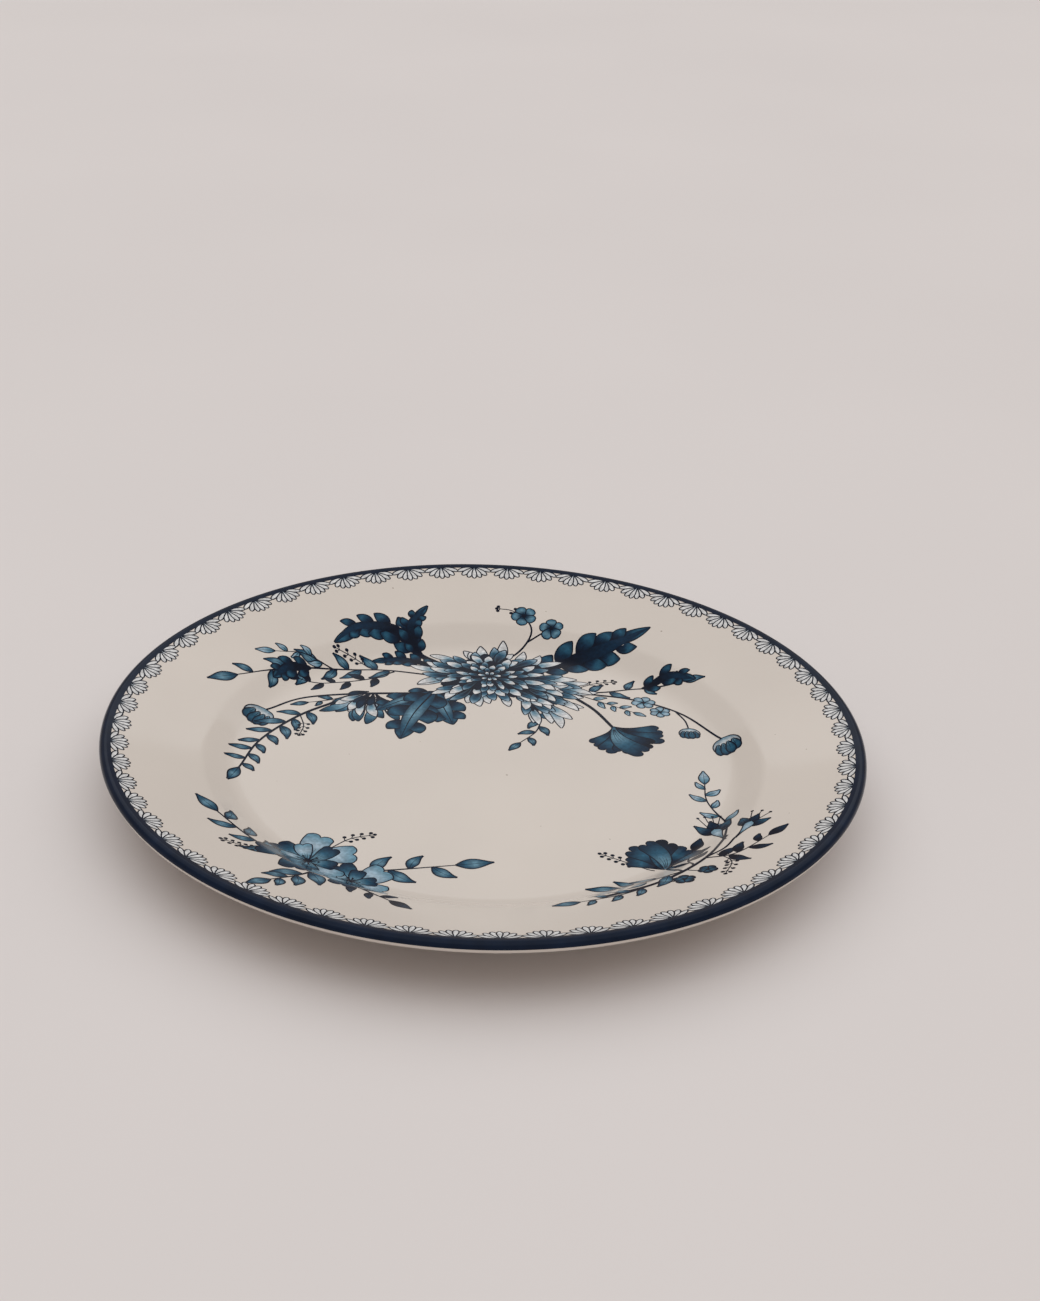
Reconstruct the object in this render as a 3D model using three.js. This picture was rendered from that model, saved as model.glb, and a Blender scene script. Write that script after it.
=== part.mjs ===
// A round porcelain dinner plate. Millimetres, +Z up.
// The origin is on the plate's axis, in the plane that the foot ring stands on.
//
// The whole plate is one fired clay body: well, cove, rim, lip and foot ring are one piece
// of porcelain, so it is one solid, turned about Z from one outline.

import * as THREE from 'three';

// Driving dimensions
const PLATE_RADIUS = 135; // 270 mm across the lip
const PLATE_HEIGHT = 24; // from the table to the top of the lip
const WALL = 4.2; // clay thickness of the cove and the rim
const FLOOR_TOP = 6.6; // the flat floor of the well, above the table
const BASE_UNDERSIDE = 2.2; // the recessed underside inside the foot ring
const WELL_CORNER_RADIUS = 88.6; // where the floor's plane and the cove's slope would meet
const COVE_ANGLE = THREE.MathUtils.degToRad(33); // steepness of the wall round the well
const RIM_ANGLE = THREE.MathUtils.degToRad(17.2); // steepness of the broad rim
const LIP_ROUND = WALL / 2; // the lip is a full round

const FOOT_INNER_RADIUS = 79.2; // the flat of the foot ring that stands on the table
const FOOT_OUTER_RADIUS = 82.4;
const FOOT_INNER_LEAN = 1.6; // how far each side of the ring leans out over its height
const FOOT_OUTER_LEAN = 1.2;
const FOOT_SHOULDER_HEIGHT = 2.6; // where the ring's outer side meets the underside
const UNDER_COVE_RADIUS = 90.6; // where the underside turns up below the cove
const UNDER_COVE_HEIGHT = 3.2;

// Fillets, in the order that the outline meets them
const WELL_FILLET = 14;
const SHOULDER_FILLET = 10;
const UNDER_SHOULDER_FILLET = 14;
const UNDER_COVE_FILLET = 9;
const FOOT_ROOT_FILLET = 1.2;
const FOOT_EDGE_FILLET = 0.6;

const FLATS_ROUND_PLATE = 84;
const DEGREES_PER_ARC_STEP = 22; // how far one chord of a fillet turns

const GLAZE_COLOUR = '#d8cfc4';
const GLAZE_ROUGHNESS = 0.12;

// A straight line in the outline's plane, as height = height at radius 0 + slope * radius.
function lineThrough(radius, height, angle) {
  const slope = Math.tan(angle);
  return { slope, atAxis: height - slope * radius };
}

function heightOn(line, radius) {
  return line.atAxis + line.slope * radius;
}

function crossing(lineA, lineB) {
  const radius = (lineB.atAxis - lineA.atAxis) / (lineA.slope - lineB.slope);
  return { radius, height: heightOn(lineA, radius) };
}

// The corners of the outline before rounding: each is a radius, a height and a fillet.
function outlineCorners() {
  const lipCentreRadius = PLATE_RADIUS - LIP_ROUND;
  const lipCentreHeight = PLATE_HEIGHT - LIP_ROUND;
  const halfRimInHeight = LIP_ROUND / Math.cos(RIM_ANGLE);
  const wallInCoveHeight = WALL / Math.cos(COVE_ANGLE);

  // The faces of the rim touch the lip's circle, and the cove rises from the well's corner.
  const rimTop = lineThrough(lipCentreRadius, lipCentreHeight + halfRimInHeight, RIM_ANGLE);
  const rimUnder = lineThrough(lipCentreRadius, lipCentreHeight - halfRimInHeight, RIM_ANGLE);
  const coveTop = lineThrough(WELL_CORNER_RADIUS, FLOOR_TOP, COVE_ANGLE);
  const coveUnder = lineThrough(WELL_CORNER_RADIUS, FLOOR_TOP - wallInCoveHeight, COVE_ANGLE);
  const shoulder = crossing(coveTop, rimTop);
  const underShoulder = crossing(coveUnder, rimUnder);

  return [
    [0, FLOOR_TOP, 0],
    [WELL_CORNER_RADIUS, FLOOR_TOP, WELL_FILLET],
    [shoulder.radius, shoulder.height, SHOULDER_FILLET],
    [PLATE_RADIUS, heightOn(rimTop, PLATE_RADIUS), LIP_ROUND],
    [PLATE_RADIUS, heightOn(rimUnder, PLATE_RADIUS), LIP_ROUND],
    [underShoulder.radius, underShoulder.height, UNDER_SHOULDER_FILLET],
    [UNDER_COVE_RADIUS, UNDER_COVE_HEIGHT, UNDER_COVE_FILLET],
    [FOOT_OUTER_RADIUS + FOOT_OUTER_LEAN, FOOT_SHOULDER_HEIGHT, FOOT_ROOT_FILLET],
    [FOOT_OUTER_RADIUS, 0, FOOT_EDGE_FILLET],
    [FOOT_INNER_RADIUS, 0, FOOT_EDGE_FILLET],
    [FOOT_INNER_RADIUS - FOOT_INNER_LEAN, BASE_UNDERSIDE, FOOT_ROOT_FILLET],
    [0, BASE_UNDERSIDE, 0],
  ];
}

// Points of the arc that rounds the corner between the points before and after it.
function filletPoints(before, corner, after, fillet) {
  const back = before.clone().sub(corner).normalize();
  const ahead = after.clone().sub(corner).normalize();
  const halfAngle = Math.acos(back.dot(ahead)) / 2;
  const middle = back.clone().add(ahead).normalize();
  const centre = corner.clone().addScaledVector(middle, fillet / Math.sin(halfAngle));
  const reach = fillet / Math.tan(halfAngle);
  const start = corner.clone().addScaledVector(back, reach).sub(centre);
  const turn = Math.sign(back.cross(ahead)) * (Math.PI - 2 * halfAngle);
  const steps = Math.ceil(THREE.MathUtils.radToDeg(Math.abs(turn)) / DEGREES_PER_ARC_STEP);
  const origin = new THREE.Vector2(0, 0);
  const points = [];
  for (let step = 0; step <= steps; step += 1) {
    const offset = start.clone().rotateAround(origin, (-turn * step) / steps);
    points.push(offset.add(centre));
  }
  return points;
}

function roundedOutline(corners) {
  const places = corners.map(([radius, height]) => new THREE.Vector2(radius, height));
  return corners.flatMap(([, , fillet], index) => {
    if (fillet === 0) {
      return [places[index]];
    }
    return filletPoints(places[index - 1], places[index], places[index + 1], fillet);
  });
}

// LatheGeometry turns about Y. The half turn about X stands it up along Z, and the outline
// is walked from the underside to the top, so that the faces point out.
function plateBody() {
  const outline = roundedOutline(outlineCorners()).reverse();
  const geometry = new THREE.LatheGeometry(outline, FLATS_ROUND_PLATE);
  geometry.rotateX(Math.PI / 2);
  const glaze = new THREE.MeshStandardMaterial({
    color: GLAZE_COLOUR,
    roughness: GLAZE_ROUGHNESS,
    metalness: 0,
  });
  const body = new THREE.Mesh(geometry, glaze);
  body.name = 'plate_body';
  return body;
}

const dinnerPlate = new THREE.Group();
dinnerPlate.add(plateBody());

export default dinnerPlate;
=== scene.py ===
"""A cream porcelain dinner plate with a dark blue lip band, a border of small fans and three printed sprays.

The plate itself is one turned body. The prints are thin single-layer sheets that follow its surface:
each spray is drawn as overlapping petals, leaves and stems, in millimetres on the plate's plan, and then
split into one layer of triangles, so that what was drawn last shows on top. Each drawn piece becomes two
sheets side by side, one for its washes and one for its line work.
"""

import math
import random

import bpy
import numpy as np
from mathutils import Matrix, Vector
from mathutils.geometry import delaunay_2d_cdt


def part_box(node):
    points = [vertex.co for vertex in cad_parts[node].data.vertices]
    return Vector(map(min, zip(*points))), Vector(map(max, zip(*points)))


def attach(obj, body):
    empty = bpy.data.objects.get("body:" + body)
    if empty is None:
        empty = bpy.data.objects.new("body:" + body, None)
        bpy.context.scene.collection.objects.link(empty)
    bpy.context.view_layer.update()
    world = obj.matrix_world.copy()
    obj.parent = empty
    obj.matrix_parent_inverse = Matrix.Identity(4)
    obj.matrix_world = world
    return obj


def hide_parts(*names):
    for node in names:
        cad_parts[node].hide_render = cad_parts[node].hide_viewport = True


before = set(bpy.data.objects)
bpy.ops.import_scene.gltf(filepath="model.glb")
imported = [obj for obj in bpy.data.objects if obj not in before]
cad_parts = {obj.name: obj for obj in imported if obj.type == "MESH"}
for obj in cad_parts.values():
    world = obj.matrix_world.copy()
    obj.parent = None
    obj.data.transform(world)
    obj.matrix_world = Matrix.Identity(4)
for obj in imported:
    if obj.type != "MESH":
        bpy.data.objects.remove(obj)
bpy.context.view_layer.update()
MM = 0.001
TOUCHING = 1e-6  # what is no further apart than this counts as touching
NO_LENGTH = 1e-9  # stands in for a length of zero where one is divided by

# ---------------------------------------------------------------- sizes, in millimetres

_, PLATE_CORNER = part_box("plate_body")
PLATE_RADIUS = PLATE_CORNER.x / MM
PLATE_HEIGHT = PLATE_CORNER.z / MM
WALL = 4.2
FLOOR_TOP = 6.6
BASE_UNDERSIDE = 2.2
WELL_CORNER_RADIUS = 88.6
COVE_ANGLE = math.radians(33)
RIM_ANGLE = math.radians(17.2)
LIP_ROUND = WALL / 2
FOOT_INNER_RADIUS = 79.2
FOOT_OUTER_RADIUS = 82.4
FOOT_INNER_LEAN = 1.6
FOOT_OUTER_LEAN = 1.2
FOOT_SHOULDER_HEIGHT = 2.6
UNDER_COVE_RADIUS = 90.6
UNDER_COVE_HEIGHT = 3.2
WELL_FILLET = 14
SHOULDER_FILLET = 10
UNDER_SHOULDER_FILLET = 14
UNDER_COVE_FILLET = 9
FOOT_ROOT_FILLET = 1.2
FOOT_EDGE_FILLET = 0.6

RING_STEPS = 288  # quads round the plate
ARC_STEP = math.radians(4)  # how far one chord of a fillet turns
STRAIGHT_STEP = 5.0  # longest chord on a straight stretch of the outline

PRINT_LIFT = 0.03  # how far the printed films stand off the clay
BAND_LIFT = 0.05
BAND_INNER_RADIUS = 131.0
SHEET_GRID = 1.0  # spacing of the points inside the printed shapes
GRID_ROW = 0.87  # distance between rows of those points, in spacings, for nearly even-sided triangles
MERGE_DISTANCE = 1e-5  # points of a drawing closer than this become one
LINE = 0.46  # how far a dark outline stands out round a wash


# ---------------------------------------------------------------- the plate's outline

def line_through(radius, height, angle):
    """A straight line as (height at the axis, slope)."""
    slope = math.tan(angle)
    return height - slope * radius, slope


def height_on(line, radius):
    """The height of such a line at a radius."""
    return line[0] + line[1] * radius


def crossing(a, b):
    """The radius and height where two such lines cross."""
    radius = (b[0] - a[0]) / (a[1] - b[1])
    return radius, height_on(a, radius)


def outline_corners():
    """Radius, height and fillet of each corner, from the axis out over the top and back underneath."""
    lip_radius = PLATE_RADIUS - LIP_ROUND
    lip_height = PLATE_HEIGHT - LIP_ROUND
    half_rim = LIP_ROUND / math.cos(RIM_ANGLE)
    wall_in_cove = WALL / math.cos(COVE_ANGLE)
    rim_top = line_through(lip_radius, lip_height + half_rim, RIM_ANGLE)
    rim_under = line_through(lip_radius, lip_height - half_rim, RIM_ANGLE)
    cove_top = line_through(WELL_CORNER_RADIUS, FLOOR_TOP, COVE_ANGLE)
    cove_under = line_through(WELL_CORNER_RADIUS, FLOOR_TOP - wall_in_cove, COVE_ANGLE)
    return [
        (0, FLOOR_TOP, 0),
        (WELL_CORNER_RADIUS, FLOOR_TOP, WELL_FILLET),
        (*crossing(cove_top, rim_top), SHOULDER_FILLET),
        (PLATE_RADIUS, height_on(rim_top, PLATE_RADIUS), LIP_ROUND),
        (PLATE_RADIUS, height_on(rim_under, PLATE_RADIUS), LIP_ROUND),
        (*crossing(cove_under, rim_under), UNDER_SHOULDER_FILLET),
        (UNDER_COVE_RADIUS, UNDER_COVE_HEIGHT, UNDER_COVE_FILLET),
        (FOOT_OUTER_RADIUS + FOOT_OUTER_LEAN, FOOT_SHOULDER_HEIGHT, FOOT_ROOT_FILLET),
        (FOOT_OUTER_RADIUS, 0, FOOT_EDGE_FILLET),
        (FOOT_INNER_RADIUS, 0, FOOT_EDGE_FILLET),
        (FOOT_INNER_RADIUS - FOOT_INNER_LEAN, BASE_UNDERSIDE, FOOT_ROOT_FILLET),
        (0, BASE_UNDERSIDE, 0),
    ]


def fillet_points(before, corner, after, fillet):
    """Points of the arc that rounds one corner."""
    back = (before - corner).normalized()
    ahead = (after - corner).normalized()
    half_angle = back.angle(ahead) / 2
    centre = corner + (back + ahead).normalized() * fillet / math.sin(half_angle)
    start = corner + back * fillet / math.tan(half_angle) - centre
    turn = math.copysign(math.pi - 2 * half_angle, -back.cross(ahead))
    steps = math.ceil(abs(turn) / ARC_STEP)
    return [centre + Matrix.Rotation(turn * i / steps, 2) @ start for i in range(steps + 1)]


def rounded_outline(corners):
    """The outline with its corners rounded and its straight stretches cut into short chords."""
    places = [Vector((radius, height)) for radius, height, _ in corners]
    points = []
    for i, (_, _, fillet) in enumerate(corners):
        if fillet:
            arc = fillet_points(places[i - 1], places[i], places[i + 1], fillet)
        else:
            arc = [places[i]]
        if points:
            gap = arc[0] - points[-1]
            chords = max(1, math.ceil(gap.length / STRAIGHT_STEP))
            points += [points[-1] + gap * k / chords for k in range(1, chords)]
        points += arc
    return np.array([tuple(p) for p in points])


OUTLINE = rounded_outline(outline_corners())
TOP_SIDE = OUTLINE[: int(np.argmax(OUTLINE[:, 0])) + 1]  # from the axis out to the widest circle


def top_slope(radius):
    """The rise of the plate's top side for each millimetre outwards."""
    step = 0.05
    rise = np.interp(radius + step, *TOP_SIDE.T) - np.interp(radius - step, *TOP_SIDE.T)
    return rise / (2 * step)


def on_plate(points, lift):
    """Places and normals on the plate's top side, in metres, above plan points in millimetres."""
    radius = np.hypot(*points.T)
    slope = top_slope(radius)
    out = points / np.maximum(radius, TOUCHING)[:, None]
    normals = np.column_stack([-out * slope[:, None], np.ones(len(points))])
    normals /= np.linalg.norm(normals, axis=1)[:, None]
    places = np.column_stack([points, np.interp(radius, *TOP_SIDE.T)])
    return (places + normals * lift) * MM, normals


# ---------------------------------------------------------------- meshes

def link(thing):
    """Puts an object into the scene."""
    bpy.context.scene.collection.objects.link(thing)


def new_piece(name, places, faces, materials, face_materials=None):
    """A smooth-shaded object. face_materials holds the number of each face's material."""
    mesh = bpy.data.meshes.new(name)
    mesh.from_pydata([tuple(p) for p in places], [], [tuple(f) for f in faces])
    for material in materials:
        mesh.materials.append(material)
    if face_materials is not None:
        mesh.polygons.foreach_set("material_index", face_materials)
    mesh.polygons.foreach_set("use_smooth", [True] * len(mesh.polygons))
    piece = bpy.data.objects.new(name, mesh)
    link(piece)
    return piece


def lathe(points):
    """A surface of revolution, in metres, through outline points in millimetres.

    A point on the axis becomes one vertex, with triangles round it.
    """
    places, rings, faces = [], [], []
    for radius, height in points:
        first = len(places)
        if radius < TOUCHING:
            places.append((0, 0, height * MM))
            rings.append([first] * RING_STEPS)
            continue
        for i in range(RING_STEPS):
            angle = 2 * math.pi * i / RING_STEPS
            places.append((radius * math.cos(angle) * MM, radius * math.sin(angle) * MM, height * MM))
        rings.append(list(range(first, first + RING_STEPS)))
    for inner, outer in zip(rings, rings[1:]):
        for i in range(RING_STEPS):
            j = (i + 1) % RING_STEPS
            corners = [inner[i], outer[i], outer[j], inner[j]]
            faces.append([c for k, c in enumerate(corners) if c != corners[k - 1]])
    return places, faces


# ---------------------------------------------------------------- inks

def ink(red, green, blue):
    """A colour given as screen values (sRGB) from 0 to 255, as linear light."""
    values = np.array([red, green, blue]) / 255
    return np.where(values <= 0.04045, values / 12.92, ((values + 0.055) / 1.055) ** 2.4)


NAVY = ink(9, 17, 34)
DEEP = ink(14, 42, 66)
TEAL = ink(40, 88, 114)
SKY = ink(106, 147, 168)
MIST = ink(164, 186, 202)
PALE = ink(212, 214, 216)
CREAM = ink(214, 207, 200)
BAND_INK = ink(20, 32, 52)

# A wash is its colours from root to tip, the colour at its margins, and how strongly that one shows there.
PETAL_WASH = ([NAVY, NAVY, NAVY, DEEP, TEAL, MIST], SKY, 0.25)
BRIGHT_WASH = ([NAVY, NAVY, TEAL, SKY, PALE, PALE], PALE, 0.4)
DUSK_WASH = ([DEEP, TEAL, TEAL, DEEP, NAVY], NAVY, 0.45)
GLOW_WASH = ([TEAL, SKY, TEAL, DEEP], NAVY, 0.4)
STREAM_WASH = ([PALE, PALE, MIST, SKY, TEAL, NAVY], TEAL, 0.3)
BUD_WASH = ([SKY, TEAL, TEAL, DEEP], NAVY, 0.5)
DOME_WASH = ([SKY, PALE, PALE, MIST], TEAL, 0.6)
LEAF_WASH = ([DEEP, TEAL, SKY, TEAL, DEEP], DEEP, 0.8)
DARK_WASH = ([NAVY, NAVY, DEEP, DEEP], NAVY, 0.3)
LOBE_WASH = ([NAVY, NAVY, DEEP, TEAL, DEEP], NAVY, 0.4)
OAK_WASH = ([DEEP, TEAL, SKY, TEAL, DEEP], DEEP, 0.75)
SOFT_WASH = ([TEAL, SKY, MIST, SKY], TEAL, 0.4)
DEEP_BLOSSOM_WASH = ([NAVY, DEEP, SKY, TEAL], TEAL, 0.5)
FAN_WASH = ([MIST, PALE, PALE, PALE], PALE, 0.0)


# ---------------------------------------------------------------- drawing

BLADE_STEPS = 14  # points along a petal's or a leaf's midline
STROKE_STEPS = 5  # points along a pen line, for each point that it was given
LEAST_REACH = 0.3  # half-width under which a blade's margin colour fades out
NOTCH_STEPS = 6  # points on the blunt tip of a notched petal, for each lobe
CREST_EDGE = 0.93  # how far out the first and last of those points lie
LEAF_RIB = 0.3  # width of a leaf's rib at its root
VEIN_SPREAD = 0.75  # how much of a petal's width its veins fan out over
VEIN_END = 0.62  # how far along the petal they run


def smooth(points, count):
    """A Catmull-Rom curve through the points."""
    points = np.array(points, float)
    if len(points) == 2:
        return points[0] + (points[1] - points[0]) * np.linspace(0, 1, count)[:, None]
    ends = np.vstack([2 * points[0] - points[1], points, 2 * points[-1] - points[-2]])
    along = np.linspace(0, len(points) - 1, count)
    first = np.minimum(along.astype(int), len(points) - 2)
    t = (along - first)[:, None]
    a, b, c, d = (ends[first + k] for k in range(4))
    return 0.5 * (2 * b + (c - a) * t + (2 * a - 5 * b + 4 * c - d) * t**2 + (3 * b - a - 3 * c + d) * t**3)


def bowed(root, tip, bow):
    """A midline from root to tip that bows to its left by bow times its length."""
    t = np.linspace(0, 1, BLADE_STEPS)[:, None]
    root, tip = np.array(root, float), np.array(tip, float)
    along = tip - root
    across = np.array([-along[1], along[0]])
    return root + along * t + across * bow * 4 * t * (1 - t)


def directions(midline):
    """The directions along a midline and to its left, at each of its points."""
    tangents = np.gradient(midline, axis=0)
    tangents /= np.maximum(np.linalg.norm(tangents, axis=1), NO_LENGTH)[:, None]
    return tangents, np.column_stack([-tangents[:, 1], tangents[:, 0]])


def swell(t, widest, blunt):
    """A half-width that grows from root to tip and back, widest at that share of the length."""
    power = math.log(0.5) / math.log(widest)
    return np.maximum(np.sin(np.pi * t**power), 0) ** blunt


def grown(outline, line):
    """The outline moved outwards, for the dark line round a wash."""
    before, after = np.roll(outline, 1, axis=0), np.roll(outline, -1, axis=0)
    along = after - before
    normals = np.column_stack([along[:, 1], -along[:, 0]])
    normals /= np.maximum(np.linalg.norm(normals, axis=1), NO_LENGTH)[:, None]
    area = np.sum(outline[:, 0] * after[:, 1] - after[:, 0] * outline[:, 1])
    return outline + normals * line * math.copysign(1, area)


def inside(points, outline):
    """Which points an outline winds round."""
    winding = np.zeros(len(points), int)
    for (x0, y0), (x1, y1) in zip(outline, np.roll(outline, -1, axis=0)):
        left = (x1 - x0) * (points[:, 1] - y0) - (points[:, 0] - x0) * (y1 - y0)
        winding += (y0 <= points[:, 1]) & (y1 > points[:, 1]) & (left > 0)
        winding -= (y0 > points[:, 1]) & (y1 <= points[:, 1]) & (left < 0)
    return winding != 0


class Blade:
    """A petal or leaf: a midline, a half-width at each of its points, and a crest across a blunt tip.

    The crest's points are (share of the last half-width, rise beyond the tip as a share of the length).
    """

    def __init__(self, midline, half, crest=()):
        self.midline = midline
        self.half = half
        self.tangents, self.normals = directions(midline)
        length = np.linalg.norm(np.diff(midline, axis=0), axis=1).sum()
        left_side = midline + self.normals * half[:, None]
        right_side = midline - self.normals * half[:, None]
        end, aside, ahead = midline[-1], self.normals[-1], self.tangents[-1]
        tip = [[end + aside * across * half[-1] + ahead * rise * length] for across, rise in crest]
        self.outline = np.vstack([left_side, *tip, right_side[::-1]])

    def place(self, points):
        """How far along (0 to 1) and across (-1 to 1) the blade each point lies."""
        gaps = points[:, None] - self.midline[None]
        nearest = np.argmin((gaps**2).sum(2), axis=1)
        gap = gaps[np.arange(len(points)), nearest]
        chord = np.linalg.norm(np.diff(self.midline, axis=0), axis=1).mean()
        extra = (gap * self.tangents[nearest]).sum(1) / chord
        along = np.clip((nearest + extra) / (len(self.midline) - 1), 0, 1)
        across = (gap * self.normals[nearest]).sum(1) / np.maximum(self.half[nearest], LEAST_REACH)
        return along, np.clip(across, -1, 1)

    def colours(self, wash, points):
        """The colour of a wash at each point."""
        stops, margin, share = wash
        along, across = self.place(points)
        at = np.linspace(0, 1, len(stops))
        ramp = np.column_stack([np.interp(along, at, [s[k] for s in stops]) for k in range(3)])
        mix = (share * across**2)[:, None]
        return ramp * (1 - mix) + margin * mix


class Drawing:
    """Shapes in the order they are painted. Each has an outline, a sheet's name and its paint.

    The paint is a blade and a wash, or None for plain line ink.
    """

    def __init__(self):
        self.shapes = []
        self.piece = ""

    def solid(self, outline):
        """A shape in plain line ink."""
        self.shapes.append((outline, self.piece + "_lines", None))

    def wash(self, blade, wash, line=LINE):
        """A washed shape with a dark line round it."""
        if line:
            self.solid(grown(blade.outline, line))
        self.shapes.append((blade.outline, self.piece + "_wash", (blade, wash)))

    def stroke(self, points, start, end, count=0):
        """A pen line through the points, of those widths at its ends."""
        midline = smooth(points, count or STROKE_STEPS * len(points))
        _, normals = directions(midline)
        half = np.linspace(start, end, len(midline))[:, None] / 2
        self.solid(np.vstack([midline + normals * half, (midline - normals * half)[::-1]]))

    def dot(self, centre, radius, sides=8):
        """A round spot of line ink."""
        angles = np.arange(sides) * 2 * math.pi / sides
        self.solid(np.array(centre) + radius * np.column_stack([np.cos(angles), np.sin(angles)]))

    def petal(self, root, tip, width, wash, widest, blunt, bow=0.0, veins=0, line=LINE):
        """A petal that is widest at that share of its length. A lower blunt gives it rounder ends."""
        midline = bowed(root, tip, bow)
        half = width / 2 * swell(np.linspace(0, 1, len(midline)), widest, blunt)
        blade = Blade(midline, half)
        self.wash(blade, wash, line)
        self.veins(blade, veins)

    def notched(self, root, tip, width, wash, bow, depth, lobes=2, veins=3):
        """A petal with a blunt tip that is cut into round lobes, of that depth as a share of its length."""
        midline = bowed(root, tip, bow)
        t = np.linspace(0, 1, len(midline))
        half = width / 2 * (0.1 + 0.9 * np.sin(np.pi / 2 * np.minimum(t * 1.15, 1)) ** 1.2)
        across = np.linspace(CREST_EDGE, -CREST_EDGE, NOTCH_STEPS * lobes - 1)
        crest = [(s, depth * abs(math.sin(lobes * math.pi * (s + 1) / 2)) ** 0.7) for s in across]
        blade = Blade(midline, half, crest)
        self.wash(blade, wash)
        self.veins(blade, veins)

    def leaf(self, root, tip, width, wash, bow=0.0):
        """A pointed leaf with a rib."""
        midline = bowed(root, tip, bow)
        half = width / 2 * swell(np.linspace(0, 1, len(midline)), widest=0.42, blunt=1.35)
        self.wash(Blade(midline, half), wash)
        self.stroke(midline[:-3], LEAF_RIB, 0.4 * LEAF_RIB, len(midline))

    def veins(self, blade, count):
        """Fine lines that fan out from the root along a petal."""
        half = blade.half * VEIN_SPREAD
        end = int(len(half) * VEIN_END)
        for k in range(count):
            share = (k + 1) / (count + 1) * 2 - 1
            line = blade.midline + blade.normals * (half * share)[:, None]
            self.stroke(line[1:end], 0.3, 0.08, 8)


# ---------------------------------------------------------------- flower forms

# Flowers are drawn in shares of their own size. Turns and leans are in degrees.
STATION_STEPS = 60  # points along a stem, of which some hold a leaf or a berry
HEAD_RIPPLE = 0.07  # how much the outline of a full head swells and shrinks
HEAD_WAVES = 5  # and how often on the way round
GROUND_STEPS = 48  # points round the dark ground between its petals
BROAD_PETAL = 3.1  # a wider petal of a full head has two veins
GRAIN_SIDES = 9  # corners of a stamen's grain or a berry
FLOWER_STAMENS = 9  # in an open flower
SIDE_SPREAD = 58  # lean of the outermost petals of a flower seen from the side
SIDE_DARK = 30  # petals that lean further than this are dark
TRUMPET_TUBE = 0.62  # lengths of its tube, petals and stamens
TRUMPET_PETAL = 0.44
TRUMPET_STAMEN = 0.58
TRUMPET_LEAN = 46  # between its middle petal and the two others
STAMEN_LEAN = 20
BUD_LOBES = 4  # petals round the mouth of a bud
BERRY = 0.75  # its radius in millimetres
BERRY_LEAN = 52  # between a twig and the stalks of its berries
FIRST_LEAF = 0.25  # how far along its stem a branch's first leaf is
LOBE_LEAN = 40  # between a lobed leaf's midline and its lobes
LOBED_STEPS = 24  # points along a lobed leaf's midline


def polar(centre, radius, degrees):
    """The place at a distance and a direction from a centre."""
    angle = math.radians(degrees)
    return centre[0] + radius * math.cos(angle), centre[1] + radius * math.sin(angle)


def heading(degrees):
    """A direction, of length 1."""
    return np.array(polar((0, 0), 1, degrees))


def turned(direction, degrees):
    """A direction turned to its left."""
    x, y = direction
    angle = math.radians(degrees)
    ahead, aside = math.cos(angle), math.sin(angle)
    return np.array([ahead * x - aside * y, aside * x + ahead * y])


def stations(points, shares):
    """Places and directions at those shares of the way along a smooth curve."""
    midline = smooth(points, STATION_STEPS)
    tangents, _ = directions(midline)
    found = [round(share * (len(midline) - 1)) for share in shares]
    return [(midline[k], tangents[k]) for k in found]


def ground(share):
    """A ring without petals: the dark ground between them, out to that share of the reach."""
    return 0, share, 0, 0, None


def full_head(drawing, centre, half_sizes, rings, seed, spread=(0, 360)):
    """A many-petalled oval head, or a sector of one, painted from the outside in.

    Each ring is (petals, share of the reach, share of that which the petals cover, width, wash).
    """
    chance = random.Random(seed)
    whole = spread[1] - spread[0] >= 360

    def reach(turn):
        angle = math.radians(turn)
        oval = 1 / math.hypot(math.cos(angle) / half_sizes[0], math.sin(angle) / half_sizes[1])
        return oval * (1 + HEAD_RIPPLE * math.sin(HEAD_WAVES * angle))

    for petals, share, cover, width, wash in rings:
        if not petals:
            turns = np.linspace(*spread, GROUND_STEPS, endpoint=not whole)
            edge = [polar(centre, share * reach(turn) * chance.uniform(0.94, 1.06), turn) for turn in turns]
            drawing.solid(np.array(edge if whole else [centre] + edge))
            continue
        start = chance.uniform(0, 360 / petals) if whole else 0
        gaps = petals if whole else petals - 1
        order = list(range(petals))
        chance.shuffle(order)
        for k in order:
            turn = spread[0] + start + (spread[1] - spread[0]) * k / gaps + chance.uniform(-4, 4)
            distance = share * reach(turn) * chance.uniform(0.86, 1.08)
            root = polar(centre, distance * (1 - cover), turn)
            tip = polar(centre, distance, turn + chance.uniform(-6, 6))
            bow = chance.uniform(-0.12, 0.12)
            petal_width = width * chance.uniform(0.85, 1.15)
            veins = 2 if width > BROAD_PETAL else 1
            drawing.petal(root, tip, petal_width, wash, widest=0.68, blunt=0.85, bow=bow, veins=veins)


def round_blossom(drawing, centre, radius, petals, turn, wash=SOFT_WASH):
    """A small open flower with round petals and a dark eye."""
    for k in range(petals):
        tip = polar(centre, radius, turn + 360 * k / petals)
        drawing.petal(centre, tip, radius * 3.9 / petals, wash, widest=0.7, blunt=0.5)
    drawing.dot(centre, radius * 0.22)


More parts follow.
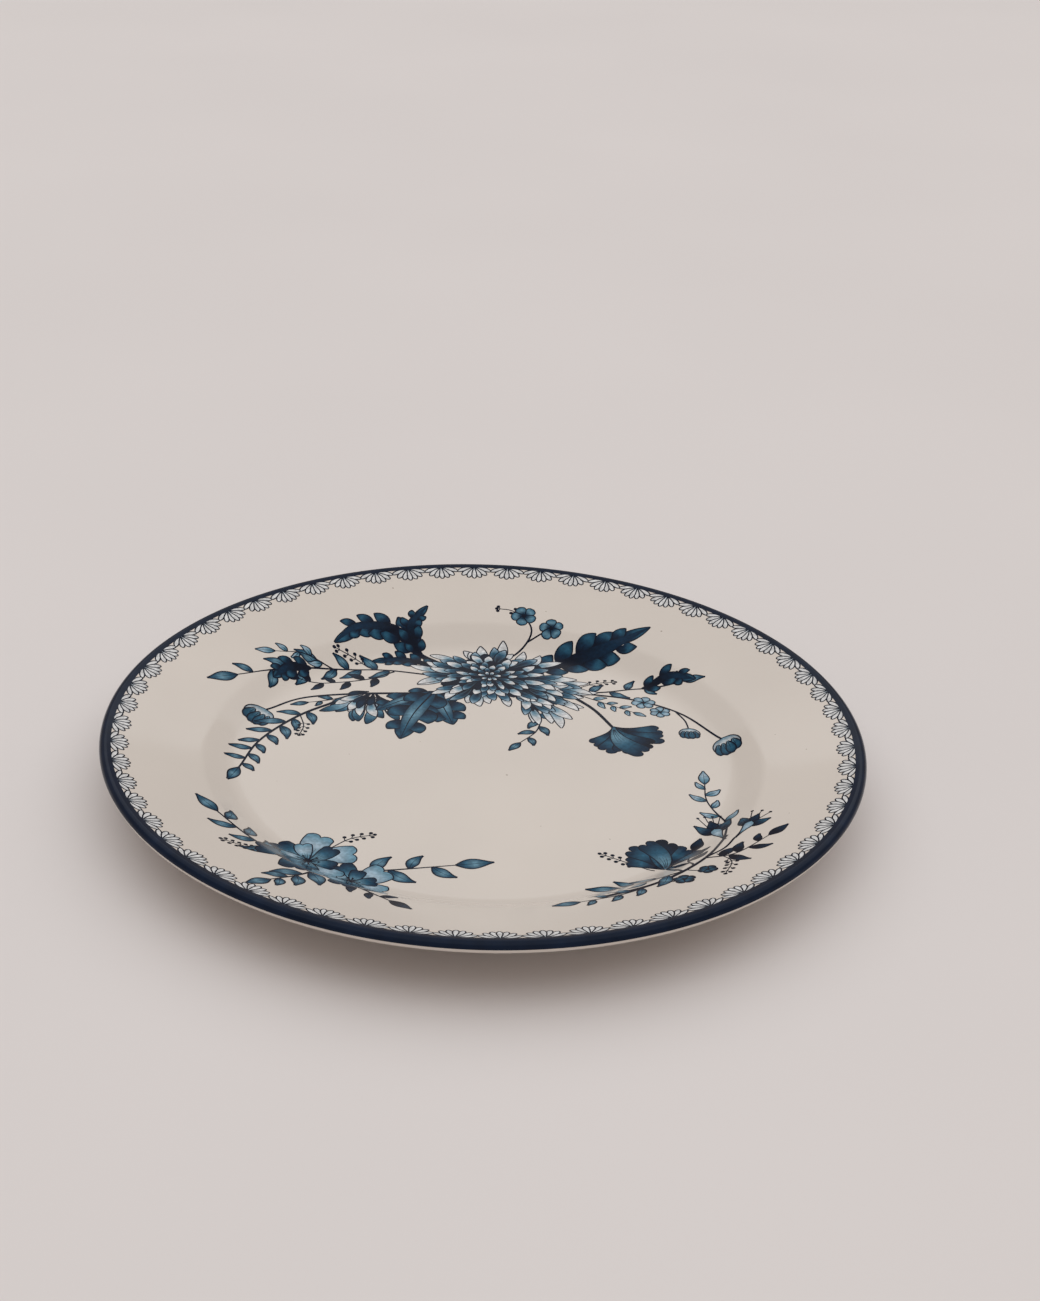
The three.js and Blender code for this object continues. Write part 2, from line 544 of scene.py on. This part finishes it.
def open_flower(drawing, centre, radius, petals, turn, seed):
    """An open flower: a ring of broad notched petals, smaller ones within, and a ring of stamens."""
    chance = random.Random(seed)
    washes = (GLOW_WASH, SOFT_WASH)
    for share, first, width in ((1.0, turn, 3.9), (0.66, turn + 180 / petals, 3.4)):
        order = list(range(petals))
        chance.shuffle(order)
        for k in order:
            reach = radius * share * chance.uniform(0.86, 1.1)
            tip = polar(centre, reach, first + 360 * k / petals + chance.uniform(-6, 6))
            bow = chance.uniform(-0.08, 0.08)
            drawing.notched(centre, tip, reach * width / petals, chance.choice(washes), bow, depth=0.09)
    tips = [polar(centre, radius * 0.24, 360 / FLOWER_STAMENS * k) for k in range(FLOWER_STAMENS)]
    stamens(drawing, centre, tips, radius * 0.035)
    drawing.dot(centre, radius * 0.1)


def side_flower(drawing, base, ahead, size, petals, seed):
    """A flower seen from the side: petals in a fan from its base, the middle ones in front."""
    chance = random.Random(seed)
    for angle in sorted(np.linspace(-SIDE_SPREAD, SIDE_SPREAD, petals), key=abs, reverse=True):
        reach = size * (1 - 0.2 * abs(angle) / SIDE_SPREAD) * chance.uniform(0.9, 1.08)
        tip = base + turned(ahead, angle) * reach
        wash = LOBE_WASH if abs(angle) > SIDE_DARK else chance.choice((DUSK_WASH, GLOW_WASH))
        drawing.notched(base, tip, reach * 0.44, wash, math.copysign(0.14, -angle), depth=0.1)


def trumpet(drawing, base, ahead, size, stamen_count=3):
    """A slim tube that opens in pointed petals, with stamens beyond."""
    mouth = base + ahead * size * TRUMPET_TUBE
    leans = np.linspace(-STAMEN_LEAN, STAMEN_LEAN, stamen_count)
    stamens(drawing, mouth, [mouth + turned(ahead, lean) * size * TRUMPET_STAMEN for lean in leans])
    for lean in (0, -TRUMPET_LEAN, TRUMPET_LEAN):
        tip = mouth + turned(ahead, lean) * size * TRUMPET_PETAL
        drawing.leaf(mouth - ahead * size * 0.1, tip, size * 0.22, LOBE_WASH if lean else DARK_WASH)
    tube_end = mouth + ahead * size * 0.12
    drawing.petal(base, tube_end, size * 0.17, SOFT_WASH, widest=0.82, blunt=0.75, veins=1)


def stamens(drawing, root, tips, grain=0.6):
    """Thin stalks from one root, with a grain of that radius on each."""
    for tip in tips:
        drawing.stroke([root, tip], 0.45, 0.35, 4)
        drawing.dot(tip, grain, GRAIN_SIDES)


def bud(drawing, base, ahead, length, width):
    """A round bud seen from the side: a pale dome with dark petals round its mouth."""
    tip = base + ahead * length
    along = tip - base
    across = turned(ahead, 90) * width
    drawing.petal(base, tip - along * 0.05, width, DOME_WASH, widest=0.52, blunt=0.42)
    for share in sorted(np.linspace(-1, 1, BUD_LOBES), key=abs, reverse=True):
        root = base + along * 0.28 + across * share * 0.28
        end = tip + across * share * 0.34 - along * 0.1 * abs(share)
        drawing.petal(root, end, width / BUD_LOBES * 1.2, BUD_WASH, widest=0.6, blunt=0.6, veins=1)


def berry_twig(drawing, points, pairs, stalk=2.2):
    """A thin twig with berries on short stalks along both sides, and one at its tip."""
    drawing.stroke(points, 0.5, 0.35)
    for k, (place, ahead) in enumerate(stations(points, np.linspace(0.35, 0.88, pairs))):
        for side in (-1, 1):
            end = place + turned(ahead, BERRY_LEAN * side) * stalk * (1 - 0.35 * k / pairs)
            drawing.stroke([place, end], 0.35, 0.3, 3)
            drawing.dot(end, BERRY, GRAIN_SIDES)
    drawing.dot(points[-1], BERRY, GRAIN_SIDES)


def leafy_branch(drawing, points, leaves, length, seed, thick, wash=LEAF_WASH, slim=0.38, lean=46):
    """A stem with leaves on alternate sides that grow smaller along it, and a full-sized one at its tip."""
    chance = random.Random(seed)
    drawing.stroke(points, thick, 0.45 * thick)
    shares = np.linspace(FIRST_LEAF, 1, leaves)
    for k, (place, ahead) in enumerate(stations(points, shares)):
        side = 0 if k == leaves - 1 else (-1) ** k
        reach = length * (1 - 0.35 * shares[k] * abs(side)) * chance.uniform(0.82, 1.15)
        away = turned(ahead, lean * side * chance.uniform(0.8, 1.2))
        drawing.leaf(place, place + away * reach, reach * slim, wash, 0.1 * side)


def lobed_leaf(drawing, points, pairs, reach, wash=DARK_WASH, core_share=0.22, broad=0.52):
    """A leaf with pointed lobes in pairs along its midline, the ones nearer its root painted last.

    core_share is the core's half-width in shares of the reach, and broad is a lobe's width in its lengths.
    """
    midline = smooth(points, LOBED_STEPS)
    core = Blade(midline, reach * core_share * swell(np.linspace(0, 1, len(midline)), 0.4, 0.8))
    drawing.solid(grown(core.outline, LINE))
    tip_root = midline[len(midline) * 6 // 10]
    drawing.petal(tip_root, points[-1], reach * broad * 0.85, LOBE_WASH, widest=0.5, blunt=0.9, veins=1)
    shares = np.linspace(0.66, 0.08, pairs)
    for share, (place, ahead) in zip(shares, stations(points, shares)):
        size = reach * (1 - 0.75 * abs(share - 0.3))
        for side in (-1, 1):
            tip = place + turned(ahead, LOBE_LEAN * side) * size
            bow = 0.1 * side
            drawing.petal(place, tip, size * broad, LOBE_WASH, widest=0.56, blunt=0.85, bow=bow, veins=1)
    drawing.wash(core, wash, line=0)


# ---------------------------------------------------------------- the main spray

# The sprays are an arrangement of their own, drawn by rule. Places are in millimetres from the plate's axis.

def main_spray():
    """Two full heads in the middle, branches to both sides, lobed leaves above and smaller flowers below."""
    d = Drawing()

    d.piece = "left_branches"
    leafy_branch(d, [(-20, 67), (-44, 70), (-68, 64), (-94, 46)], 11, 12, seed=3, thick=1.1)
    leafy_branch(d, [(-58, 67), (-70, 69), (-82, 66)], 5, 7, seed=4, thick=0.7, wash=SOFT_WASH)
    leafy_branch(d, [(-36, 69), (-46, 62), (-60, 58), (-72, 57)], 7, 8, seed=5, thick=0.9, wash=DARK_WASH)
    berry_twig(d, [(-44, 70), (-51, 75), (-60, 77)], 4)
    lobed_leaf(d, [(-68, 64), (-76, 60), (-81, 52)], 3, 6.5)

    d.piece = "drooping_bud"
    d.stroke([(-28, 52), (-50, 50), (-70, 45), (-82, 34)], 1.7, 0.8)
    leafy_branch(d, [(-50, 50), (-58, 45), (-67, 42)], 4, 7, seed=6, thick=0.8)
    bud(d, (-82, 34), heading(-112), 11.5, 10.4)

    d.piece = "leafy_tendril"
    tendril = [(-56, 44), (-70, 31), (-82, 12), (-87, -8)]
    leafy_branch(d, tendril, 14, 12, seed=8, thick=1.6, slim=0.31, lean=54)
    berry_twig(d, [(-69, 32), (-67, 24), (-68, 17)], 4)

    d.piece = "upper_left_leaf"
    d.stroke([(-16, 74), (-24, 81), (-32, 87)], 3.6, 2.2)
    lobed_leaf(d, [(-26, 84), (-38, 92), (-52, 90), (-60, 79)], 5, 9.5)
    lobed_leaf(d, [(-27, 83), (-31, 95), (-25, 107)], 4, 6.5)
    lobed_leaf(d, [(-20, 75), (-33, 79), (-45, 76)], 4, 6.5)

    d.piece = "upper_right_leaf"
    lobed_leaf(d, [(17, 74), (34, 82), (50, 86), (64, 93)], 5, 12.5)

    d.piece = "upper_blossoms"
    d.stroke([(8, 83), (17, 95), (14, 104)], 0.9, 0.6)
    d.stroke([(15.4, 92), (21, 95), (25, 97)], 0.7, 0.6)
    berry_twig(d, [(14, 103), (9, 107), (3, 108)], 2, stalk=1.8)
    round_blossom(d, (25, 97), 4.6, 5, 18, DEEP_BLOSSOM_WASH)
    round_blossom(d, (14, 104), 4.9, 5, 40, DEEP_BLOSSOM_WASH)

    d.piece = "right_branches"
    leafy_branch(d, [(28, 57), (44, 58), (60, 62), (76, 60)], 6, 9, seed=11, thick=1.2)
    lobed_leaf(d, [(60, 62), (70, 65), (80, 59)], 3, 6.5)
    d.stroke([(34, 57), (56, 53), (74, 43), (88, 22)], 1.2, 0.8)
    leafy_branch(d, [(36, 55), (46, 49), (56, 43)], 7, 6, seed=12, thick=0.6, wash=SOFT_WASH)
    berry_twig(d, [(34, 60), (42, 65), (50, 67)], 4)
    d.stroke([(72, 44.6), (75, 38), (76, 32)], 0.8, 0.6)

    d.piece = "right_blossoms"
    round_blossom(d, (60, 51), 4.4, 6, 10)
    round_blossom(d, (66, 44), 3.8, 6, 30)
    bud(d, (76, 32), heading(-88), 7.6, 7.4)
    bud(d, (88, 23), heading(-80), 11.5, 9.4)

    d.piece = "lower_right_flower"
    d.stroke([(33, 54), (41, 44), (48, 30)], 1.6, 1.3)
    side_flower(d, (48, 31), heading(-62), 19, 7, seed=14)

    d.piece = "hanging_twig"
    leafy_branch(d, [(14, 47), (20, 36), (19, 26), (13, 17)], 6, 8, seed=15, thick=0.9)

    d.piece = "ragged_bloom"
    rings = [
        (9, 1.0, 0.75, 3.6, STREAM_WASH),
        (7, 0.8, 0.75, 3.2, BRIGHT_WASH),
        (5, 0.55, 0.8, 2.6, DARK_WASH),
    ]
    full_head(d, (-43, 53), (20, 26), rings, seed=17, spread=(205, 292))

    d.piece = "lower_leaves"
    for bend, tip, reach in (
        ((-32, 46), (-41, 38), 9),
        ((-16, 42), (-12, 29), 11),
        ((-27, 36), (-31, 17), 13),
    ):
        midline = [(-20, 54), bend, tip]
        lobed_leaf(d, midline, 3, reach, OAK_WASH, core_share=0.26, broad=0.62)
        d.stroke(midline, 0.9, 0.2)

    d.piece = "side_bloom"
    rings = [
        (12, 1.0, 0.6, 3.6, BRIGHT_WASH),
        ground(0.66),
        (11, 0.83, 0.6, 3.4, PETAL_WASH),
        (9, 0.67, 0.6, 3.1, BRIGHT_WASH),
        ground(0.42),
        (8, 0.5, 0.6, 2.8, PETAL_WASH),
    ]
    full_head(d, (10, 63), (33, 34), rings, seed=5, spread=(-76, 0))

    d.piece = "chrysanthemum"
    rings = [
        (24, 1.0, 0.62, 3.7, BRIGHT_WASH),
        ground(0.7),
        (21, 0.85, 0.6, 3.4, PETAL_WASH),
        (18, 0.7, 0.6, 3.1, BRIGHT_WASH),
        ground(0.48),
        (16, 0.54, 0.62, 2.7, PETAL_WASH),
        (13, 0.4, 0.68, 2.2, BRIGHT_WASH),
        ground(0.25),
        (10, 0.27, 0.75, 1.7, PETAL_WASH),
        (7, 0.15, 0.85, 1.3, BRIGHT_WASH),
    ]
    full_head(d, (1, 68), (31, 24), rings, seed=11)
    return d


# ---------------------------------------------------------------- the two small sprigs

def left_sprig():
    """Two open flowers among leaves and berries."""
    d = Drawing()

    d.piece = "left_sprig_leaves"
    leafy_branch(d, [(-42, -72), (-28, -70), (-8, -66)], 5, 13, seed=21, thick=1.0, wash=OAK_WASH, slim=0.42)
    leafy_branch(d, [(-60, -72), (-74, -66), (-89, -50)], 7, 12, seed=22, thick=1.4)
    leafy_branch(d, [(-52, -80), (-58, -89), (-66, -97)], 6, 11, seed=23, thick=1.2, slim=0.44)
    leafy_branch(d, [(-46, -84), (-38, -92), (-28, -101)], 6, 9, seed=24, thick=1.2, wash=DARK_WASH)
    berry_twig(d, [(-66, -71), (-76, -73), (-85, -71)], 5)
    berry_twig(d, [(-50, -58), (-44, -52), (-36, -49)], 4)

    d.piece = "left_sprig_flowers"
    open_flower(d, (-42, -79), 12, 5, 40, seed=25)
    open_flower(d, (-57, -67), 15, 6, 15, seed=26)
    return d


def right_sprig():
    """A flower seen from the side, two trumpets and two round blossoms on one long stem."""
    d = Drawing()

    d.piece = "right_sprig_leaves"
    d.stroke([(40, -93), (58, -84), (74, -68), (83, -50)], 1.8, 1.1)
    leafy_branch(d, [(58, -84), (46, -92), (32, -97)], 6, 9, seed=31, thick=1.0)
    leafy_branch(d, [(82, -52), (84, -36), (79, -20), (79, -8)], 8, 8.5, seed=32, thick=0.9, wash=SOFT_WASH)
    leafy_branch(d, [(66, -77), (56, -80), (46, -79)], 5, 11, seed=33, thick=1.2)
    leafy_branch(d, [(74, -68), (84, -68), (96, -58)], 6, 9, seed=34, thick=0.9, wash=DARK_WASH)
    leafy_branch(d, [(70, -73), (69, -64), (72, -54)], 5, 9, seed=35, thick=0.9, wash=DARK_WASH)
    berry_twig(d, [(78, -66), (82, -74), (79, -84)], 5)
    berry_twig(d, [(58, -66), (49, -61), (40, -56)], 5)

    d.piece = "right_sprig_flowers"
    d.stroke([(58, -84), (62, -85), (66, -84)], 0.6, 0.5)
    d.stroke([(67, -76), (71, -78), (74, -78)], 0.6, 0.5)
    round_blossom(d, (66, -84), 3.4, 5, 20, DUSK_WASH)
    round_blossom(d, (74, -78), 3.0, 5, 50, DUSK_WASH)
    trumpet(d, (82, -54), heading(98), 20, 4)
    d.stroke([(75, -67), (81, -62), (85, -55)], 0.9, 0.8)
    trumpet(d, (85, -55.4), heading(58), 17)
    d.stroke([(66, -77), (63, -70), (61.5, -64)], 1.2, 1.0)
    side_flower(d, (61.5, -66), heading(96), 17, 6, seed=37)
    return d


# ---------------------------------------------------------------- the border

FANS = 60
FAN_ROOT_RADIUS = BAND_INNER_RADIUS + 0.1
FAN_TIP_RADIUS = 125.1
FAN_START = math.radians(3)
# Of each pair of petals: degrees from the fan's middle, share of the fan's length, width.
FAN_PETALS = ((0, 1.0, 1.5), (24, 1.01, 1.55), (48, 1.08, 1.5), (71, 1.16, 1.3))
FAN_LINE = 0.5
FAN_GROUND = 0.72  # how far the dark ground between the petals reaches, as a share of their length


def fan():
    """One fan of seven petals, pointing from the lip along -X, round the middle of its root at the origin."""
    d = Drawing()
    d.piece = "border_fans"
    length = FAN_ROOT_RADIUS - FAN_TIP_RADIUS
    d.solid(np.array([polar((0, 0), length * FAN_GROUND, turn) for turn in range(90, 271, 15)]))
    for turn, share, width in reversed(FAN_PETALS):
        for side in sorted({-turn, turn}):
            tip = polar((0, 0), length * share, 180 + side)
            bow = 0.02 * side / 25  # the side petals bend a little
            d.petal((0, 0), tip, width, FAN_WASH, widest=0.7, blunt=0.6, bow=bow, line=FAN_LINE)
    return d


# ---------------------------------------------------------------- from drawings to sheets

def split_into_one_layer(shapes):
    """Triangles of all the shapes in one layer, each with the last shape that covers it, or -1."""
    points, edges = [], []
    for outline, _, _ in shapes:
        first, count = len(points), len(outline)
        points += [Vector(p) for p in outline]
        edges += [(first + k, first + (k + 1) % count) for k in range(count)]
    low, high = np.min(points, axis=0), np.max(points, axis=0)
    columns = np.arange(low[0], high[0], SHEET_GRID)
    rows = np.arange(low[1], high[1], SHEET_GRID * GRID_ROW)
    for k, row in enumerate(rows):
        points += [Vector((x + SHEET_GRID / 2 * (k % 2), row)) for x in columns]
    places, _, triangles, *_ = delaunay_2d_cdt(points, edges, [], 0, MERGE_DISTANCE, False)
    places, triangles = np.array(places), np.array(triangles)
    middles = places[triangles].mean(1)
    owner = np.full(len(triangles), -1)
    for k, (outline, _, _) in enumerate(shapes):
        near = np.all((middles >= outline.min(0)) & (middles <= outline.max(0)), axis=1).nonzero()[0]
        owner[near[inside(middles[near], outline)]] = k
    return places, triangles, owner


def corner_colours(shapes, places, triangles, owner):
    """The colour at each corner of each triangle, from the shape that owns it."""
    colours = np.tile(NAVY, (len(triangles), 3, 1))
    for k, (_, _, paint) in enumerate(shapes):
        mine = (owner == k).nonzero()[0]
        if paint is not None and len(mine):
            blade, wash = paint
            found = blade.colours(wash, places[triangles[mine]].reshape(-1, 2))
            colours[mine] = found.reshape(-1, 3, 3)
    return colours


def sheet(name, places, triangles, colours, material):
    """A printed film on the plate's top side, from plan points in millimetres.

    Line work has colours of None, because its material holds its one ink.
    """
    used, corners = np.unique(triangles, return_inverse=True)
    lifted, normals = on_plate(places[used], PRINT_LIFT)
    faces = corners.reshape(-1, 3)
    piece = new_piece(name, lifted, faces, [material])
    if colours is not None:
        layer = piece.data.color_attributes.new("print", "FLOAT_COLOR", "CORNER")
        values = np.ones((len(faces) * 3, 4))
        values[:, :3] = colours.reshape(-1, 3)
        layer.data.foreach_set("color", values.ravel())
    piece.data.normals_split_custom_set_from_vertices([tuple(n) for n in normals])
    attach(piece, "root")


def print_drawing(drawing, copies=((0, (0, 0)),)):
    """Makes the sheets of a drawing. Each copy is shifted and then turned about the plate's axis."""
    places, triangles, owner = split_into_one_layer(drawing.shapes)
    names = [name for _, name, _ in drawing.shapes]
    colours = corner_colours(drawing.shapes, places, triangles, owner)
    for name in dict.fromkeys(names):
        mine = np.isin(owner, [k for k, other in enumerate(names) if other == name]).nonzero()[0]
        all_places = []
        for turn, shift in copies:
            spin = np.array([[math.cos(turn), math.sin(turn)], [-math.sin(turn), math.cos(turn)]])
            all_places.append((places + np.array(shift)) @ spin)
        faces = np.vstack([triangles[mine] + k * len(places) for k in range(len(copies))])
        if name.endswith("_lines"):
            sheet(name, np.vstack(all_places), faces, None, PRINTED_LINE)
        else:
            inks = np.tile(colours[mine], (len(copies), 1, 1))
            sheet(name, np.vstack(all_places), faces, inks, PRINTED_WASH)


# ---------------------------------------------------------------- materials

GLAZE_IOR = 1.52
GLAZE_ROUGHNESS = 0.11
BAND_ROUGHNESS = 0.13
IVORY_GLOSS = 0.2  # specular levels
INK_GLOSS = 0.06
BAND_GLOSS = 0.08
POLISH = (0.75, 1.3)  # how far the roughness of a glaze varies round its own value
FIRST_COLOUR, SECOND_COLOUR, MIXED_COLOUR = 6, 7, 2  # the colour sockets of a Mix node
SPECK = tuple(ink(150, 138, 124))
BLACK, WHITE = (0, 0, 0), (1, 1, 1)
CLAY_DARK = ink(206, 192, 170)
CLAY_PALE = ink(220, 208, 188)
FLOOR_COLOUR = ink(224, 220, 220)


def add(material, kind, **settings):
    """A new node of a material, with its settings."""
    node = material.node_tree.nodes.new("ShaderNode" + kind)
    for key, value in settings.items():
        setattr(node, key, value)
    return node


def wire(material, source, target):
    """Joins an output of one node to an input of another."""
    material.node_tree.links.new(source, target)


def new_material(name):
    """A material, its shader, and the node that gives places on the object in metres."""
    material = bpy.data.materials.new(name)
    material.use_nodes = True
    return material, material.node_tree.nodes["Principled BSDF"], add(material, "TexCoord")


def noise(material, place, scale, detail):
    """Soft noise from 0 to 1, finer with a larger scale."""
    node = add(material, "TexNoise")
    node.inputs["Scale"].default_value = scale
    node.inputs["Detail"].default_value = detail
    wire(material, place.outputs["Object"], node.inputs["Vector"])
    return node.outputs["Fac"]


def ramp(material, value, stops):
    """Colours for the values at the stops, and blends between them."""
    node = add(material, "ValToRGB")
    elements = node.color_ramp.elements
    while len(elements) < len(stops):
        elements.new(0.5)
    for element, (position, colour) in zip(elements, stops):
        element.position = position
        element.color = (*colour, 1)
    wire(material, value, node.inputs["Fac"])
    return node.outputs["Color"]


def mixed(material, kind, share, under, over):
    """One colour over another. The share is a number or an output, and the colour over it may be plain."""
    node = add(material, "Mix", data_type="RGBA", blend_type=kind)
    if isinstance(share, (int, float)):
        node.inputs["Factor"].default_value = share
    else:
        wire(material, share, node.inputs["Factor"])
    wire(material, under, node.inputs[FIRST_COLOUR])
    if isinstance(over, tuple):
        node.inputs[SECOND_COLOUR].default_value = (*over, 1)
    else:
        wire(material, over, node.inputs[SECOND_COLOUR])
    return node.outputs[MIXED_COLOUR]


def bumps(material, shader, height, strength, depth):
    """Shades the surface as if a height output raised it by up to that depth, in metres."""
    node = add(material, "Bump")
    node.inputs["Strength"].default_value = strength
    node.inputs["Distance"].default_value = depth
    wire(material, height, node.inputs["Height"])
    wire(material, node.outputs["Normal"], shader.inputs["Normal"])


def glazed(name, roughness, gloss):
    """A material with the plate's gloss: a hard clear glaze with a faint waviness and uneven polish."""
    material, shader, place = new_material(name)
    shader.inputs["IOR"].default_value = GLAZE_IOR
    shader.inputs["Specular IOR Level"].default_value = gloss
    polish = add(material, "MapRange")
    polish.inputs["To Min"].default_value = roughness * POLISH[0]
    polish.inputs["To Max"].default_value = roughness * POLISH[1]
    wire(material, noise(material, place, 45, 4), polish.inputs["Value"])
    wire(material, polish.outputs["Result"], shader.inputs["Roughness"])
    bumps(material, shader, noise(material, place, 38, 1.5), strength=0.12, depth=0.0004)
    return material, shader, place


def ivory_glaze():
    """Cream glaze, faintly clouded, with rare brownish specks."""
    material, shader, place = glazed("ivory_glaze", GLAZE_ROUGHNESS, IVORY_GLOSS)
    clouds = ramp(material, noise(material, place, 14, 3), [(0.3, CREAM * 0.965), (0.7, CREAM * 1.02)])
    specks = ramp(material, noise(material, place, 420, 1), [(0.82, BLACK), (0.84, WHITE)])
    wire(material, mixed(material, "MIX", specks, clouds, SPECK), shader.inputs["Base Color"])
    return material


def printed_wash():
    """The ink of the washes: the sheet's own colours with a fine grain."""
    material, shader, place = glazed("underglaze_blue_wash", GLAZE_ROUGHNESS, INK_GLOSS)
    layer = add(material, "VertexColor", layer_name="print")
    grain = ramp(material, noise(material, place, 700, 3), [(0.3, (0.72,) * 3), (0.7, (1.22,) * 3)])
    colour = mixed(material, "MULTIPLY", 1.0, layer.outputs["Color"], grain)
    wire(material, colour, shader.inputs["Base Color"])
    return material


def printed_line():
    """The ink of the line work."""
    material, shader, place = glazed("underglaze_blue_line", GLAZE_ROUGHNESS, INK_GLOSS)
    colour = ramp(material, noise(material, place, 500, 3), [(0.3, NAVY * 0.8), (0.7, NAVY * 1.5)])
    wire(material, colour, shader.inputs["Base Color"])
    return material


def lip_band_blue():
    """The ink of the band, a little uneven."""
    material, shader, place = glazed("lip_band_blue", BAND_ROUGHNESS, BAND_GLOSS)
    stops = [(0.25, BAND_INK * 0.7), (0.6, BAND_INK), (0.85, BAND_INK * 1.35)]
    wire(material, ramp(material, noise(material, place, 160, 4), stops), shader.inputs["Base Color"])
    return material


def bare_clay():
    """Dry unglazed clay."""
    material, shader, place = new_material("bare_clay")
    colour = ramp(material, noise(material, place, 260, 4), [(0.3, CLAY_DARK), (0.7, CLAY_PALE)])
    wire(material, colour, shader.inputs["Base Color"])
    shader.inputs["Roughness"].default_value = 0.85
    bumps(material, shader, noise(material, place, 1800, 2), strength=0.4, depth=0.0002)
    return material


def backdrop_paint():
    """Matt pale paint for the floor."""
    material, shader, place = new_material("backdrop_paint")
    colour = ramp(material, noise(material, place, 3, 2), [(0.3, FLOOR_COLOUR * 0.97), (0.7, FLOOR_COLOUR)])
    wire(material, colour, shader.inputs["Base Color"])
    shader.inputs["Roughness"].default_value = 0.9
    return material


GLAZE = ivory_glaze()
PRINTED_WASH = printed_wash()
PRINTED_LINE = printed_line()
BAND_BLUE = lip_band_blue()
BARE_CLAY = bare_clay()


# ---------------------------------------------------------------- the plate

def plate_body():
    """The porcelain, glazed all over except for the face that it stands on."""
    places, faces = lathe(OUTLINE)
    on_foot = [int(all(abs(places[c][2]) < TOUCHING for c in face)) for face in faces]
    body = new_piece("porcelain_body", places, faces, [GLAZE, BARE_CLAY], on_foot)
    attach(body, "root")
    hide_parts("plate_body")


def lip_band():
    """The dark band over the lip, from the fans' roots to the plate's widest circle."""
    outer = TOP_SIDE[TOP_SIDE[:, 0] > BAND_INNER_RADIUS]
    inner = (BAND_INNER_RADIUS, np.interp(BAND_INNER_RADIUS, *TOP_SIDE.T))
    path = np.vstack([inner, outer])
    _, normals = directions(path)
    places, faces = lathe(path + normals * BAND_LIFT)
    band = new_piece("lip_band", places, faces, [BAND_BLUE])
    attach(band, "root")


plate_body()
lip_band()
print_drawing(main_spray())
print_drawing(left_sprig())
print_drawing(right_sprig())
print_drawing(fan(), [(-(FAN_START + 2 * math.pi * k / FANS), (FAN_ROOT_RADIUS, 0)) for k in range(FANS)])


# ---------------------------------------------------------------- floor, light and camera

FLOOR_HALF = 6.0  # metres
ROOM_COLOUR = ink(225, 210, 198)
ROOM_STRENGTH = 0.48
WALL_COLOUR = ink(212, 206, 203)
CAMERA_PLACE = (0, -0.6498, 0.3886)  # metres
CAMERA_YAW, CAMERA_PITCH, CAMERA_ROLL = math.radians(0.99), math.radians(27.28), math.radians(2.5)
LENS = 57.9  # millimetres, on a 36 mm sensor


def floor():
    """A square of floor round the plate's axis."""
    mesh = bpy.data.meshes.new("floor")
    corners = [(x * FLOOR_HALF, y * FLOOR_HALF, 0) for x, y in ((-1, -1), (1, -1), (1, 1), (-1, 1))]
    mesh.from_pydata(corners, [], [(0, 1, 2, 3)])
    mesh.materials.append(backdrop_paint())
    piece = bpy.data.objects.new("floor", mesh)
    link(piece)


def soft_sun(name, source, spread, strength, colour):
    """Even light from one side of the sky: source points at it, and spread is how many degrees wide it is."""
    light = bpy.data.lights.new(name, "SUN")
    light.energy = strength
    light.angle = math.radians(spread)
    light.color = colour
    lamp = bpy.data.objects.new(name, light)
    lamp.rotation_euler = Vector(source).to_track_quat("Z", "Y").to_euler()
    link(lamp)


def room_light():
    """Warm light from all round. Looked at directly, the room is as pale as the floor."""
    world = bpy.data.worlds.new("room")
    world.use_nodes = True
    surroundings = world.node_tree.nodes["Background"]
    surroundings.inputs["Color"].default_value = (*ROOM_COLOUR, 1)
    surroundings.inputs["Strength"].default_value = ROOM_STRENGTH
    wall = world.node_tree.nodes.new("ShaderNodeBackground")
    wall.inputs["Color"].default_value = (*WALL_COLOUR, 1)
    seen = world.node_tree.nodes.new("ShaderNodeLightPath")
    either = world.node_tree.nodes.new("ShaderNodeMixShader")
    links = world.node_tree.links
    links.new(seen.outputs["Is Camera Ray"], either.inputs[0])
    links.new(surroundings.outputs[0], either.inputs[1])
    links.new(wall.outputs[0], either.inputs[2])
    links.new(either.outputs[0], world.node_tree.nodes["World Output"].inputs["Surface"])
    bpy.context.scene.world = world


def photographer_camera():
    """The photo's view, from 0.39 m above the table, rolled so that the plate's right side sits lower."""
    yaw, pitch, roll = CAMERA_YAW, CAMERA_PITCH, CAMERA_ROLL
    forward = Vector((math.sin(yaw) * math.cos(pitch), math.cos(yaw) * math.cos(pitch), -math.sin(pitch)))
    level = Vector((math.cos(yaw), -math.sin(yaw), 0))
    upright = level.cross(forward)
    right = level * math.cos(roll) + upright * math.sin(roll)
    up = upright * math.cos(roll) - level * math.sin(roll)
    camera = bpy.data.objects.new("camera", bpy.data.cameras.new("camera"))
    camera.data.lens = LENS
    camera.data.sensor_width = 36
    camera.data.clip_start = 0.01
    turn = Matrix((right, up, -forward)).transposed().to_4x4()
    camera.matrix_world = Matrix.Translation(CAMERA_PLACE) @ turn
    link(camera)
    bpy.context.scene.camera = camera


floor()
room_light()
soft_sun("high_window", (0.04, 0.2, 1.0), spread=105, strength=1.48, colour=(0.95, 0.99, 1.02))
soft_sun("front_fill", (0.1, -0.9, 1.1), spread=90, strength=0.35, colour=(1.0, 0.98, 0.95))
photographer_camera()
bpy.context.scene.view_settings.view_transform = "Standard"
